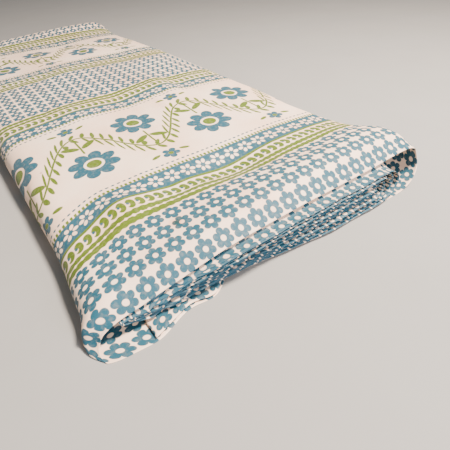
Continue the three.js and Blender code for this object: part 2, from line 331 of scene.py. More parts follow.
def outer_lap_stretches(height):
    """The outer lap's section as stretches, each with its rows, its near edge and its points.

    It goes from the loose end on the table to the left, round the left side, over the top, round
    the right turn and back under the stack. Each stretch is a function of t from 0 to 1.
    """
    def widest(y):
        return LEFT_WIDEST - POCKET_DROP * pocket(y)

    def foot_out(t):
        return mix(FOOT_OUT, SIDE_OUT, smooth(0, 1, t))

    def foot(t, y):
        c, s = quarter(t)
        tucked = t * tuck(y - NEAR_EDGE + foot_out(t))
        return left_reach(y) + FOOT_ROUND * (1 - s) + tucked, widest(y) * (1 - c)

    def side(t, y):
        c, s = quarter(t)
        top = top_height(TOP_START, y, height)
        tucked = tuck(y - NEAR_EDGE + SIDE_OUT * (1 - t))
        return mix(TOP_START, left_reach(y) + tucked, c), mix(widest(y), top, s)

    def tail(t, y):
        return mix(TAIL_FOLD, left_reach(y) + FOOT_ROUND, t), 0 * t * y

    def over(t, y):
        x = mix(TOP_START, TOP_END, t) + 0 * y
        return x, top_height(x, y, height)

    def turn(t, y):
        c, s = quarter(t)
        square = 1 - SHOULDER * bell(y - NEAR_EDGE, SHOULDER_DEPTH)
        top = top_height(TOP_END, y, height)
        return mix(TOP_END, right_reach(y), s ** square), mix(TURN_MIDDLE, top, c ** square)

    def low_turn(t, y):
        c, s = quarter(t)
        return mix(TOP_END - TURN_LEAN, right_reach(y), c), TURN_MIDDLE * (1 - s) + 0 * y

    return (
        (26, lambda t: read_table(TAIL_EDGE, mix(TAIL_FOLD, TAIL_LEFT, t)), tail),
        (12, foot_out, foot),
        (18, lambda t: SIDE_OUT * (1 - t), side),
        (106, lambda t: 0 * t, over),
        (18, lambda t: slip(TOP_END, mix(TURN_MIDDLE, height, quarter(t)[0])), turn),
        (14, lambda t: slip(TOP_END, TURN_MIDDLE * (1 - quarter(t)[1])), low_turn),
        (24, lambda t: slip(mix(TOP_END - TURN_LEAN, UNDER_RUN_END, t), 0),
         lambda t, y: (mix(TOP_END - TURN_LEAN, UNDER_RUN_END, t) + 0 * y, 0 * t * y)),
    )


def grid_normals(points):
    """Cross product of the grid's two directions, of length one."""
    normal = np.cross(np.gradient(points, axis=0), np.gradient(points, axis=1))
    return normal / np.linalg.norm(normal, axis=2, keepdims=True)


def soften(points, times):
    """Weights of one, two, one along the section, repeated: takes the hard bends out of joints."""
    for _ in range(times):
        points[1:-1] = 0.25 * points[:-2] + 0.5 * points[1:-1] + 0.25 * points[2:]
    return points


def crease_relief(along, inward, seed, count):
    """Sum of long bells, the listed creases and a scatter of faint short ones."""
    rng = np.random.default_rng(seed)
    faint = np.column_stack([rng.uniform(low, high, count) for low, high in FAINT_RANGES])
    relief = np.zeros(np.broadcast(along, inward).shape)
    for place, depth, turn, length, width, height in (*CREASES, *faint):
        c, s = np.cos(np.radians(turn)), np.sin(np.radians(turn))
        dx, dy = along - place, inward - depth
        relief += height * bell(dx * c + dy * s, length) * bell(dy * c - dx * s, width)
    return relief


def outer_lap_grid(height, crease_share):
    """The outer lap as a grid of points with its cloth coordinates, in millimetres."""
    place = stations(OUTER_COLUMNS)[None, :]
    pieces, along = [], []
    stretches = outer_lap_stretches(height)
    for k, (rows, out, at) in enumerate(stretches):
        t = np.linspace(0, 1, rows, endpoint=k == len(stretches) - 1)[:, None]
        y = NEAR_EDGE - out(t) + place
        x, z = at(t, y)
        pieces.append(np.stack(np.broadcast_arrays(x, y, z), axis=2))
        along.append(np.full(rows, k))
    points = soften(np.concatenate(pieces), 4)
    stretch = np.concatenate(along)
    middle = points[:, points.shape[1] // 2]
    length = np.concatenate([[0], np.cumsum(np.linalg.norm(np.diff(middle, axis=0), axis=1))])
    first, last = np.flatnonzero(stretch == 3)[[0, -1]]
    u = np.where(stretch < 3, TOP_START - (length[first] - length), 0.0)
    u = np.where(stretch == 3, middle[:, 0], u)
    u = np.where(stretch > 3, TOP_END + (length - length[last]), u)
    u = u[:, None] + 0 * place
    skewed = smooth(*SKEW_COMES, place) * (1 - smooth(*SKEW_GOES, place))
    v = place + PRINT_SKEW * smooth(*SKEW_ACROSS, u) * skewed
    relief = crease_share * crease_relief(u, place + 0 * u, CREASE_SEED, FAINT_CREASES)
    from_end = np.minimum(place, LAP_LENGTH - place)
    edge_curl = EDGE_CURL * np.sin(u / CURL_LENGTH) * bell(from_end, CURL_DEPTH)
    points += (relief + edge_curl)[:, :, None] * grid_normals(points)
    points[:, :, 2] = np.maximum(points[:, :, 2], 0)
    return points, u, v


def bunch(lap):
    """How far through its bunch a lap is, as an angle."""
    return 2 * np.pi * (lap - FIRST_BUNCH) / LAPS_IN_BUNCH


def stepped(z):
    """A height drawn towards the bunches' levels: z plus a share of a sine of z."""
    turn = 2 * np.pi / BUNCH_HEIGHT
    return z + BUNCH_STEP * np.sin(turn * z) / turn


def edge_draw(x, z, lap):
    """How far a lap's near edge is drawn out: the ledge, less grooves, waves and ruffles."""
    wander = -GROOVE * np.sin(bunch(lap)) + LAP_WANDER * np.sin(lap * 15.7 + 1)
    wander = wander + EDGE_WAVE * np.sin(x / 9 + lap * 3)
    ruffle = RUFFLE * np.sin(x / 4.6 + 1.7 * lap) * bell(x - RUFFLE_MIDDLE, RUFFLE_REACH)
    return ledge(x, z) - wander - ruffle


def inner_lap_stretches(height, laps):
    """The inner laps' section as stretches, each with its rows, its side and its points.

    It goes once round, from the end of the outer lap's run underneath to the left, over the top and
    back there. The side is 1 for the run above, -1 for the runs underneath and 0 for the turns. Each
    stretch is a function of t from 0 to 1, of y, of the lap's number and of its share.
    """
    def base(x):
        return mix(INNER_BASE_LEFT, INNER_BASE, smooth(TURNED_FOLD, TAIL_FOLD + 18, x))

    def under_top(x, y):
        inward = y - NEAR_EDGE
        sink = EDGE_SINK * bell(inward, 14)
        ruffle = (1 + np.sin(x / 3.4)) * bell(x + 120, 24) * bell(inward + 4, 14)
        return top_height(x, y, height) - UNDER_TOP - sink - ruffle

    def runs(x, y, lap, share):
        low, high = base(x), under_top(x, y)
        centre = 0.5 * (low + high)
        bunched = BUNCHING * np.cos(bunch(lap)) * smooth(BUNCHED_FROM, BUNCHED_TO, x)
        share = np.clip(share + bunched / (laps + SPIRAL_EYE), 0, 0.99)
        return mix(low, centre, share), mix(high, centre, share), centre

    def left(y, lap):
        return INNER_LEFT + POCKET_SET_IN * pocket(y) + INNER_LEFT_STEP * (lap - 1)

    def low_left(y, lap, share):
        return left(y, lap) + mix(25 + 35 * pocket(y), 6, share)

    def high_left(y, lap, share):
        return left(y, lap) + mix(24, 7, share)

    def left_middle(y, lap, share):
        centre = runs(high_left(y, lap, share), y, lap, share)[2]
        return mix(13 + 2 * pocket(y), centre, share)

    def right(lap):
        return np.minimum(120.4, read_table(LAP_REACH, lap) - 17 + 0.9 * np.clip(lap - 3, 0, 11))

    def right_middle(y, lap, share):
        return mix(20.5, runs(right(lap), y, lap, share)[2], share)

    def under_left(t, y, lap, share):
        x = mix(UNDER_RUN_END, low_left(y, lap, share), t)
        return x, runs(x, y, lap, share)[0]

    def low_left_turn(t, y, lap, share):
        c, s = quarter(t)
        start = low_left(y, lap, share)
        low = runs(start, y, lap, share)[0]
        return mix(start, left(y, lap), s), mix(left_middle(y, lap, share), low, c)

    def high_left_turn(t, y, lap, share):
        c, s = quarter(t)
        start = high_left(y, lap, share)
        high = runs(start, y, lap, share)[1]
        return mix(start, left(y, lap), c), mix(left_middle(y, lap, share), high, s)

    def above(t, y, lap, share):
        x = mix(high_left(y, lap, share), right(lap), t)
        return x, runs(x, y, lap, share)[1]

    def high_right_turn(t, y, lap, share):
        c, s = quarter(t)
        high = runs(right(lap), y, lap, share)[1]
        x = mix(right(lap), read_table(LAP_REACH, lap), s)
        return x, mix(right_middle(y, lap, share), high, c)

    def low_right_turn(t, y, lap, share):
        c, s = quarter(t)
        low = runs(right(lap), y, lap, share)[0]
        x = mix(right(lap) - TURN_LEAN, read_table(LAP_REACH, lap), c)
        return x, mix(right_middle(y, lap, share), low, s)

    def under_right(t, y, lap, share):
        x = mix(right(lap) - TURN_LEAN, UNDER_RUN_END, t) + 0 * y
        return x, runs(x, y, lap, share)[0]

    return (
        (9, -1, under_left),
        (8, 0, low_left_turn),
        (8, 0, high_left_turn),
        (24, 1, above),
        (9, 0, high_right_turn),
        (8, 0, low_right_turn),
        (13, -1, under_right),
    )


def inner_laps_grid(height, laps, print_pitch, first_column):
    """The laps inside as one sheet wound in a flat spiral, in millimetres.

    A lap's number grows by one each time round. Its share, from 0 outside to 1 at the eye, moves
    its runs from the outer lap's faces to the middle between them, and draws its turns inward.
    """
    place = stations(INNER_COLUMNS, INNER_GATHER)[None, None, :]
    near = NEAR_EDGE + place
    stretches = inner_lap_stretches(height, laps)
    total = sum(rows for rows, side, at in stretches)
    pieces, along = [], []
    row = 0
    for rows, side, at in stretches:
        t = np.linspace(0, 1, rows, endpoint=False)[None, :, None]
        lap = 1 + np.arange(laps)[:, None, None] + (row + np.arange(rows))[None, :, None] / total
        share = (lap - SPIRAL_START) / (laps + SPIRAL_EYE)
        row += rows
        x, z = at(t, near, lap, share)
        edge_x, edge_z = x[:, :, :1], stepped(z[:, :, :1])
        draw = edge_draw(edge_x, edge_z, lap) * (1 - smooth(0, LEDGE_FADE, place))
        y = near - slip(edge_x, edge_z) - draw + EDGE_SET_BACK
        x, z = at(t, y, lap, share)
        pieces.append(np.stack(np.broadcast_arrays(x, y, z), axis=3))
        slant = COLUMN_SLANT * (z[:, :, :1] - LEDGE_HEIGHT)
        along.append(np.stack(np.broadcast_arrays(side * (edge_x - slant), side + 0 * slant), axis=3))
    points = np.concatenate(pieces, axis=1).reshape(laps * total, -1, 3)
    guide = np.concatenate(along, axis=1).reshape(laps * total, -1, 2)[:, 0]
    middle = points[:, points.shape[1] // 2]
    length = np.concatenate([[0], np.cumsum(np.linalg.norm(np.diff(middle, axis=0), axis=1))])
    u = snap_to_columns(length + UNDER_RUN_END, guide, print_pitch, first_column)
    turns = 1 + np.arange(laps * total) / total
    drift = PRINT_SHIFT * (1 + 0.08 * np.sin(2.7 * turns[:, None]))
    v = place[0] + drift * (1 - 2 * place[0] / LAP_LENGTH)
    return points, u[:, None] + 0 * v, v


def snap_to_columns(length, guide, pitch, first_column):
    """Print place of each row: on a flat run its place across, moved by whole pitches to the run
    before it, so that flower columns stack up as on evenly folded cloth. Turns fill in between."""
    u = length.copy()
    sides = guide[:, 1]
    starts = np.flatnonzero(np.diff(sides, prepend=99) != 0)
    known = np.zeros(len(u), dtype=bool)
    for start, end in zip(starts, (*starts[1:], len(u))):
        side = sides[start]
        if side == 0:
            continue
        offset = 0 if side > 0 else 2 * first_column
        run = guide[start:end, 0] + offset
        u[start:end] = run + pitch * np.round((length[start] - run[0]) / pitch)
        known[start:end] = True
    index = np.arange(len(u))
    return np.interp(index, index[known], u[known])


def turned_end_grid():
    """The raw end of the cloth turned back on the loose end: a flat strip with a soft swell."""
    t = np.linspace(0, 1, TURNED_ROWS)[:, None]
    place = stations(TURNED_COLUMNS)[None, :]
    x = mix(TURNED_FOLD, TURNED_RAW_END, t) + 0 * place
    out = read_table(TAIL_EDGE, mix(TURNED_FOLD, TURNED_RAW_END, t)) - 2
    y = NEAR_EDGE - out + place
    swell = 0.5 + 0.4 * np.sin(x / 17 + y / 41) * np.sin(y / 29 + 1)
    z = TURNED_HEIGHT + swell * (0.3 + bell(t, 0.2))
    points = np.stack(np.broadcast_arrays(x, y, z), axis=2)
    u = -x + 2 * TAIL_FOLD
    return points, u, place + 0 * u


def cloth_object(name, points, u, v, thickness, material):
    """A sheet from a grid of points: four-sided faces between neighbours, then a thin wall inward."""
    rows, columns = points.shape[:2]
    corner = np.arange(rows * columns).reshape(rows, columns)
    faces = np.stack([corner[:-1, :-1], corner[1:, :-1], corner[1:, 1:], corner[:-1, 1:]], axis=2)
    faces = faces.reshape(-1, 4)
    mesh = bpy.data.meshes.new(name)
    mesh.vertices.add(rows * columns)
    mesh.vertices.foreach_set("co", (points.reshape(-1) * MM).astype(np.float32))
    mesh.loops.add(faces.size)
    mesh.loops.foreach_set("vertex_index", faces.reshape(-1).astype(np.int32))
    mesh.polygons.add(len(faces))
    mesh.polygons.foreach_set("loop_start", np.arange(0, faces.size, 4, dtype=np.int32))
    mesh.polygons.foreach_set("use_smooth", np.ones(len(faces), dtype=bool))
    layer = mesh.uv_layers.new(name="cloth")
    flat = np.stack([u.reshape(-1), v.reshape(-1)], axis=1)[faces.reshape(-1)] * MM
    layer.data.foreach_set("uv", flat.reshape(-1).astype(np.float32))
    mesh.materials.append(material)
    mesh.update()
    mesh.validate()
    piece = bpy.data.objects.new(name, mesh)
    bpy.context.scene.collection.objects.link(piece)
    wall = piece.modifiers.new("wall", "SOLIDIFY")
    wall.thickness = thickness
    wall.offset = -1
    return piece


MATH = "ShaderNodeMath"


def add(tree, kind, *inputs, out=0, **settings):
    """Adds a node, sets its properties, links or sets its inputs in order, and gives one output."""
    node = tree.nodes.new(kind)
    for name, value in settings.items():
        setattr(node, name, value)
    for socket, value in zip(node.inputs, inputs):
        if isinstance(value, bpy.types.NodeSocket):
            tree.links.new(value, socket)
        elif value is not None:
            socket.default_value = value
    return node.outputs[out] if node.outputs else None


def ink(tree, inside, soft=0.03):
    """Cover of a motif from how far inside its edge a place lies, with a softly bled edge."""
    return add(tree, MATH, inside, 1 / soft, 0.5, operation="MULTIPLY_ADD", use_clamp=True)


def stripe(tree, value, centre, half):
    """Cover of a stripe: half its width, less the distance from its centre line."""
    distance = add(tree, MATH, add(tree, MATH, value, centre, operation="SUBTRACT"), operation="ABSOLUTE")
    return ink(tree, add(tree, MATH, half, distance, operation="SUBTRACT"))


def spot(tree, x, y, radius_x, radius_y):
    """Cover of an oval: one less the distance in radii, times the smaller radius."""
    across = add(tree, MATH, x, radius_x, operation="DIVIDE")
    along = add(tree, MATH, y, radius_y, operation="DIVIDE")
    distance = add(tree, "ShaderNodeVectorMath", add(tree, "ShaderNodeCombineXYZ", across, along),
                   out=1, operation="LENGTH")
    small = min(radius_x, radius_y)
    return ink(tree, add(tree, MATH, distance, -small, small, operation="MULTIPLY_ADD"))


def cell(tree, value, pitch, centre):
    """Place within a repeat, from minus half a pitch to half a pitch."""
    moved = add(tree, MATH, value, centre, operation="SUBTRACT")
    return add(tree, MATH, moved, pitch / 2, -pitch / 2, operation="WRAP")


def polar(tree, x, y):
    """Distance and angle of a place."""
    radius = add(tree, "ShaderNodeVectorMath", add(tree, "ShaderNodeCombineXYZ", x, y),
                 out=1, operation="LENGTH")
    return radius, add(tree, MATH, y, x, operation="ARCTAN2")


def rosette(tree, radius, angle, petals, turn, notch, tip, roundness):
    """Cover of touching petals: the edge swings from notch to tip with the cosine's power."""
    phase = add(tree, MATH, angle, petals / 2, -turn * petals / 2, operation="MULTIPLY_ADD")
    swing = add(tree, MATH, add(tree, MATH, phase, operation="COSINE"), operation="ABSOLUTE")
    swing = add(tree, MATH, swing, roundness, operation="POWER")
    edge = add(tree, MATH, swing, tip - notch, notch, operation="MULTIPLY_ADD")
    return ink(tree, add(tree, MATH, edge, radius, operation="SUBTRACT"))


def ring_cell(tree, radius, angle, count, turn, middle):
    """Places along and out from a ring's line, within one of its equal sectors."""
    half = np.pi / count
    folded = add(tree, MATH, add(tree, MATH, angle, turn, operation="SUBTRACT"), half, -half,
                 operation="WRAP")
    along = add(tree, MATH, radius, add(tree, MATH, folded, operation="SINE"), operation="MULTIPLY")
    outward = add(tree, MATH, radius, add(tree, MATH, folded, operation="COSINE"), operation="MULTIPLY")
    return along, add(tree, MATH, outward, middle, operation="SUBTRACT")


def leaf(tree, x, y, centre_x, centre_y, turn, half_length, half_width):
    """Cover of an oval leaf, moved to its centre and turned."""
    dx = add(tree, MATH, x, centre_x, operation="SUBTRACT")
    dy = add(tree, MATH, y, centre_y, operation="SUBTRACT")
    c, s = float(np.cos(turn)), float(np.sin(turn))
    long = add(tree, MATH, dx, c, add(tree, MATH, dy, s, operation="MULTIPLY"),
               operation="MULTIPLY_ADD")
    wide = add(tree, MATH, dy, c, add(tree, MATH, dx, -s, operation="MULTIPLY"),
               operation="MULTIPLY_ADD")
    return spot(tree, long, wide, half_length, half_width)


def together(tree, *covers):
    """The strongest cover of several."""
    total = covers[0]
    for cover in covers[1:]:
        total = add(tree, MATH, total, cover, operation="MAXIMUM")
    return total


def without(tree, cover, hole):
    """A cover with another taken out of it."""
    return add(tree, MATH, cover, add(tree, MATH, 1.0, hole, operation="SUBTRACT"),
               operation="MULTIPLY")


# The print's layout in flower pitches. Bands are placed by their distance from the middle of a wide
# band, and the repeats along the cloth by the place of one motif
WIDE_BAND_MIDDLE = 12.8
HALF_REPEAT = 12.85
FIRST_FLOWER = -8.46
BAND_PITCH = 1.064
BAND_FLOWER = -6.78
FIELD_START = 8.86
FIELD_ROW = 9.35
TEETH_MIDDLE = 5.13
BAND_MIDDLE = 5.925
DAISY_MIDDLE = 5.92
GREEN_LINE_MIDDLE = 6.69
CRESCENT_MIDDLE = 7.34
DOUBLE_LINE_MIDDLE = 8.33
SCALLOP_MIDDLE = 8.31
SCALLOP_PITCH = 0.43
WIDE_BAND_HALF = 4.98
BEAD_ROW = 4.72
VINE_PITCH = 8 * BAND_PITCH
VINE_SWING = 2.3
VINE_PEAK = -5.6
VINE_LENGTH = 1.52
VINE_RIPPLE = 0.33
DAISY_RISE = 1.75
BUD_RISE = 3.78

# Wander of the print and spacing of the drawn threads, in metres
PRINT_WANDER = 0.0009
THREAD_SPACING = 0.0011

# Stains on the outer lap: place on the cloth and radius in metres, and tint
STAINS = (
    ((-0.0824, 0.0463), 0.0085, "#F8B888"),
    ((-0.1505, 0.2300), 0.0022, "#7A5640"),
)


def field_print(tree, u, w):
    """Small blue six-petal flowers on a square grid, each with a bare round eye."""
    x = cell(tree, u, 1.0, FIRST_FLOWER)
    y = cell(tree, w, 1.0, FIELD_ROW)
    radius, angle = polar(tree, x, y)
    petals = rosette(tree, radius, angle, 6, np.pi / 2, 0.30, 0.5, 0.5)
    eye = spot(tree, x, y, 0.135, 0.135)
    in_field = add(tree, MATH, w, FIELD_START, operation="GREATER_THAN")
    return add(tree, MATH, without(tree, petals, eye), in_field, operation="MULTIPLY")


def border_print(tree, u, w):
    """Blue band with bare daisies, between a saw-tooth edge and a green line, then a row of green
    crescents that hug blue dots, then a green double line with a scalloped gap."""
    band = stripe(tree, w, BAND_MIDDLE, 0.68)
    x = cell(tree, u, BAND_PITCH, BAND_FLOWER)
    y = add(tree, MATH, w, DAISY_MIDDLE, operation="SUBTRACT")
    radius, angle = polar(tree, x, y)
    along, outward = ring_cell(tree, radius, angle, 6, 0.0, 0.325)
    petals = spot(tree, outward, along, 0.17, 0.115)
    tooth = cell(tree, u, BAND_PITCH / 4, 0.0)
    teeth = add(tree, MATH, stripe(tree, tooth, 0.0, 0.08), stripe(tree, w, TEETH_MIDDLE, 0.12),
                operation="MULTIPLY")
    line = stripe(tree, w, GREEN_LINE_MIDDLE, 0.1)
    x = cell(tree, u, BAND_PITCH / 2, 0.1)
    y = add(tree, MATH, w, CRESCENT_MIDDLE, operation="SUBTRACT")
    notch = leaf(tree, x, y, -0.2, 0.02, 0.0, 0.17, 0.19)
    crescent = without(tree, spot(tree, x, y, 0.255, 0.42), notch)
    dot = leaf(tree, x, y, -0.12, -0.08, 0.0, 0.09, 0.13)
    wave = add(tree, MATH, add(tree, MATH, u, 2 * np.pi / SCALLOP_PITCH, operation="MULTIPLY"),
               operation="COSINE")
    scallop = add(tree, MATH, add(tree, MATH, wave, 0.5, 0.5, operation="MULTIPLY_ADD"), 3.0,
                  operation="POWER")
    gap_half = add(tree, MATH, scallop, 0.07, 0.03, operation="MULTIPLY_ADD")
    lines_half = add(tree, MATH, wave, -0.03, 0.465, operation="MULTIPLY_ADD")
    lines = without(tree, stripe(tree, w, DOUBLE_LINE_MIDDLE, lines_half),
                    stripe(tree, w, SCALLOP_MIDDLE, gap_half))
    return without(tree, band, petals), dot, together(tree, teeth, line, crescent, lines)


def wide_band_print(tree, u, s, w):
    """A green vine that swings across the band, with a blue daisy hung in each of its hollows.

    The vine's line is swing times cos(2 pi x / pitch). Its leaves use its own frame: x times the
    vine's length, less its ripple times sin(4 pi x / pitch), is close to the length along it, and
    the height over it divided by the slope's length is close to the distance from it.
    """
    x = add(tree, MATH, u, VINE_PEAK, operation="SUBTRACT")
    turn = add(tree, MATH, x, 2 * np.pi / VINE_PITCH, operation="MULTIPLY")
    rise = add(tree, MATH, turn, operation="COSINE")
    slope = add(tree, MATH, add(tree, MATH, turn, operation="SINE"),
                VINE_SWING * 2 * np.pi / VINE_PITCH, operation="MULTIPLY")
    slope_length = add(tree, MATH, add(tree, MATH, slope, slope, 1.0, operation="MULTIPLY_ADD"),
                       operation="SQRT")
    over = add(tree, MATH, rise, -VINE_SWING, s, operation="MULTIPLY_ADD")
    off = add(tree, MATH, over, slope_length, operation="DIVIDE")
    double = add(tree, MATH, add(tree, MATH, turn, 2.0, operation="MULTIPLY"), operation="SINE")
    along = add(tree, MATH, x, VINE_LENGTH,
                add(tree, MATH, double, -VINE_RIPPLE, operation="MULTIPLY"), operation="MULTIPLY_ADD")
    vine = stripe(tree, off, 0.0, 0.075)
    leaf_place = cell(tree, along, VINE_LENGTH * VINE_PITCH / 16, 0.0)
    side = add(tree, MATH, off, operation="ABSOLUTE")
    leaves = leaf(tree, leaf_place, side, 0.02, 0.36, 0.95, 0.36, 0.16)

    # Each half swing holds the same motifs, turned over with the vine
    across = cell(tree, x, VINE_PITCH / 2, 0.0)
    up = add(tree, MATH, s, add(tree, MATH, rise, operation="SIGN"), operation="MULTIPLY")
    radius, angle = polar(tree, across, add(tree, MATH, up, -DAISY_RISE, operation="SUBTRACT"))
    daisy = rosette(tree, radius, angle, 8, np.pi / 8, 1.0, 1.62, 0.6)
    collar = stripe(tree, radius, 0.56, 0.09)
    heart = ink(tree, add(tree, MATH, 0.47, radius, operation="SUBTRACT"))
    stem = add(tree, MATH, stripe(tree, across, 0.0, 0.07), stripe(tree, up, 1.1, 1.25),
               operation="MULTIPLY")
    each_side = add(tree, MATH, across, operation="ABSOLUTE")
    blades = leaf(tree, each_side, up, 0.62, 0.95, 0.6, 0.62, 0.25)
    bud_place = add(tree, MATH, up, BUD_RISE, operation="SUBTRACT")
    bud_radius, bud_angle = polar(tree, across, bud_place)
    bud = rosette(tree, bud_radius, bud_angle, 5, np.pi / 2, 0.3, 0.6, 0.6)
    bud_eye = ink(tree, add(tree, MATH, 0.17, bud_radius, operation="SUBTRACT"))
    sprig = leaf(tree, each_side, up, 1.0, 3.72, 0.35, 0.34, 0.14)
    beads = spot(tree, cell(tree, u, BAND_PITCH / 3, 0.0),
                 add(tree, MATH, w, BEAD_ROW, operation="SUBTRACT"), 0.11, 0.07)

    blue = together(tree, without(tree, daisy, together(tree, collar, heart)),
                    without(tree, bud, bud_eye), beads)
    green = together(tree, vine, leaves, without(tree, together(tree, stem, blades), daisy), heart,
                     bud_eye, sprig)
    inside = add(tree, MATH, w, WIDE_BAND_HALF, operation="LESS_THAN")
    return (add(tree, MATH, blue, inside, operation="MULTIPLY"),
            add(tree, MATH, green, inside, operation="MULTIPLY"))


def stain(tree, uv, place, radius):
    """Cover of a faint stain at a place on the cloth in metres, with a ragged soft edge."""
    away = add(tree, "ShaderNodeVectorMath", uv, (*place, 0.0), operation="SUBTRACT")
    distance = add(tree, "ShaderNodeVectorMath", away, out=1, operation="LENGTH")
    ragged = add(tree, "ShaderNodeTexNoise", uv, None, 420.0, 2.0, 0.6, noise_dimensions="2D")
    near = add(tree, MATH, distance, -1 / radius, 1.0, operation="MULTIPLY_ADD", use_clamp=True)
    return add(tree, MATH, near, add(tree, MATH, ragged, 1.5, operation="MULTIPLY"),
               operation="MULTIPLY", use_clamp=True)


def print_covers(tree, uv, pitch):
    """Covers of the blue and the green ink. The printed lines wander by a fraction of a millimetre."""
    warp = add(tree, "ShaderNodeTexNoise", uv, None, 90.0, 2.0, 0.5, out=1, noise_dimensions="2D")
    pull = add(tree, "ShaderNodeVectorMath", warp, (0.5, 0.5, 0.5), operation="SUBTRACT")
    pull = add(tree, "ShaderNodeVectorMath", pull, (PRINT_WANDER, PRINT_WANDER, 0.0),
               operation="MULTIPLY")
    cloth = add(tree, "ShaderNodeVectorMath", uv, pull, operation="ADD")
    in_pitches = add(tree, "ShaderNodeVectorMath", cloth, (1 / pitch, 1 / pitch, 0.0),
                     operation="MULTIPLY")
    u, v = add(tree, "ShaderNodeSeparateXYZ", in_pitches).node.outputs[:2]
    s = cell(tree, v, 2 * HALF_REPEAT, WIDE_BAND_MIDDLE)
    w = add(tree, MATH, s, operation="ABSOLUTE")
    band, dots, border_green = border_print(tree, u, w)
    wide_blue, wide_green = wide_band_print(tree, u, s, w)
    blue = together(tree, field_print(tree, u, w), band, dots, wide_blue)
    return blue, together(tree, border_green, wide_green)


def weave_normal(tree, uv, grain):
    """Surface direction over the weave: a sine across the warp times one across the weft.

    Real threads lie about 0.35 mm apart, too fine to show, so these are wider apart and very faint.
    """
    threads = add(tree, "ShaderNodeVectorMath", uv, (2 * np.pi / THREAD_SPACING,) * 3,
                  operation="MULTIPLY")
    warp_wave, weft_wave = add(tree, "ShaderNodeSeparateXYZ", threads).node.outputs[:2]
    weave = add(tree, MATH, add(tree, MATH, warp_wave, operation="SINE"),
                add(tree, MATH, weft_wave, operation="SINE"), operation="MULTIPLY")
    relief = add(tree, MATH, weave, 0.5, grain, operation="MULTIPLY_ADD")
    bump = tree.nodes.new("ShaderNodeBump")
    bump.inputs["Strength"].default_value = 0.22
    bump.inputs["Distance"].default_value = 0.00025
    tree.links.new(relief, bump.inputs["Height"])
    return bump.outputs[0]


def printed_cotton(name, colours, pitch, shade):
    """Plain-weave cotton, screen printed in two inks on a cream ground.

    Cotton scatters light softly, so it is rough with a low shine and a faint sheen of short
    fibres. The inks sink in, so they are as matt as the ground and a little uneven.
    """
    material = bpy.data.materials.new(name)
    material.use_nodes = True
    tree = material.node_tree
    tree.nodes.clear()
    uv = add(tree, "ShaderNodeUVMap", uv_map="cloth")
    blue, green = print_covers(tree, uv, pitch)

    # Ink takes unevenly on the thread: blotches of about 4 mm and grains of about 0.6 mm
    blotch = add(tree, "ShaderNodeTexNoise", uv, None, 260.0, 3.0, 0.6, noise_dimensions="2D")
    grain = add(tree, "ShaderNodeTexNoise", uv, None, 1600.0, 2.0, 0.6, noise_dimensions="2D")
    ageing = add(tree, "ShaderNodeTexNoise", uv, None, 14.0, 3.0, 0.55, noise_dimensions="2D")
    ground = add(tree, "ShaderNodeMix", ageing, None, None, None, None, None,
                 colours["ground"], colours["ground_warm"], out=2, data_type="RGBA")
    uneven = add(tree, MATH, blotch, 0.30, 0.84, operation="MULTIPLY_ADD", use_clamp=True)
    deep = add(tree, "ShaderNodeMix", grain, None, None, None, None, None,
               colours["blue_deep"], colours["blue"], out=2, data_type="RGBA")
    leafy = add(tree, "ShaderNodeMix", grain, None, None, None, None, None,
                colours["green_deep"], colours["green"], out=2, data_type="RGBA")
    blue_cover = add(tree, MATH, blue, uneven, operation="MULTIPLY")
    green_cover = add(tree, MATH, green, uneven, operation="MULTIPLY")
    colour = add(tree, "ShaderNodeMix", blue_cover, None, None, None, None, None,
                 ground, deep, out=2, data_type="RGBA")
    colour = add(tree, "ShaderNodeMix", green_cover, None, None, None, None, None,
                 colour, leafy, out=2, data_type="RGBA")
    for place, radius, tint in STAINS:
        colour = add(tree, "ShaderNodeMix", stain(tree, uv, place, radius), None, None, None, None,
                     None, colour, (*linear(tint), 1), out=2, data_type="RGBA", blend_type="MULTIPLY")
    # Painted shade: a share of the shadow colour is multiplied in, darkening the laps inside the bundle
    # where shade would fall between them
    colour = add(tree, "ShaderNodeMix", shade, None, None, None, None, None,
                 colour, colours["shadow"], out=2, data_type="RGBA", blend_type="MULTIPLY")

    shader = tree.nodes.new("ShaderNodeBsdfPrincipled")
    shader.inputs["Roughness"].default_value = 0.6
    shader.inputs["Specular IOR Level"].default_value = 0.35
    shader.inputs["Sheen Weight"].default_value = 0.1
    shader.inputs["Sheen Roughness"].default_value = 0.4
    tree.links.new(colour, shader.inputs["Base Color"])
    tree.links.new(weave_normal(tree, uv, grain), shader.inputs["Normal"])
    add(tree, "ShaderNodeOutputMaterial", shader.outputs[0])
    return material


def pale_floor():
    """Matt painted board: a pale warm grey with a faint mottle."""
    material = bpy.data.materials.new("matt_painted_board")
    material.use_nodes = True
    tree = material.node_tree
    tree.nodes.clear()
    place = add(tree, "ShaderNodeTexCoord", out=3)
    mottle = add(tree, "ShaderNodeTexNoise", place, None, 9.0, 4.0, 0.6)
    colour = add(tree, "ShaderNodeMix", mottle, None, None, None, None, None,
                 (*linear("#96938F"), 1), (*linear("#9E9B97"), 1), out=2, data_type="RGBA")
    shader = tree.nodes.new("ShaderNodeBsdfPrincipled")
    shader.inputs["Roughness"].default_value = 0.9
    tree.links.new(colour, shader.inputs["Base Color"])
    add(tree, "ShaderNodeOutputMaterial", shader.outputs[0])
    return material


class BundleSizes(bpy.types.PropertyGroup):
    """Sizes of the bundle."""

    cloth_width: FloatProperty(
        name="Cloth width", description="Width of the cotton between its selvages",
        default=0.914, unit="LENGTH")
    height: FloatProperty(
        name="Height", description="Height of the bundle's crown over the table",
        default=0.044, unit="LENGTH")
    thickness: FloatProperty(
        name="Cloth thickness", description="Thickness of one layer of cloth",
        default=0.0003, unit="LENGTH", precision=5)
    laps: IntProperty(
        name="Inner laps", description="Laps wound inside the outer one", default=14, min=4, max=16)
    creases: FloatProperty(
        name="Creases", description="Height of the creases, in times their listed height",
        default=1.5, subtype="FACTOR", min=0, max=1.5)


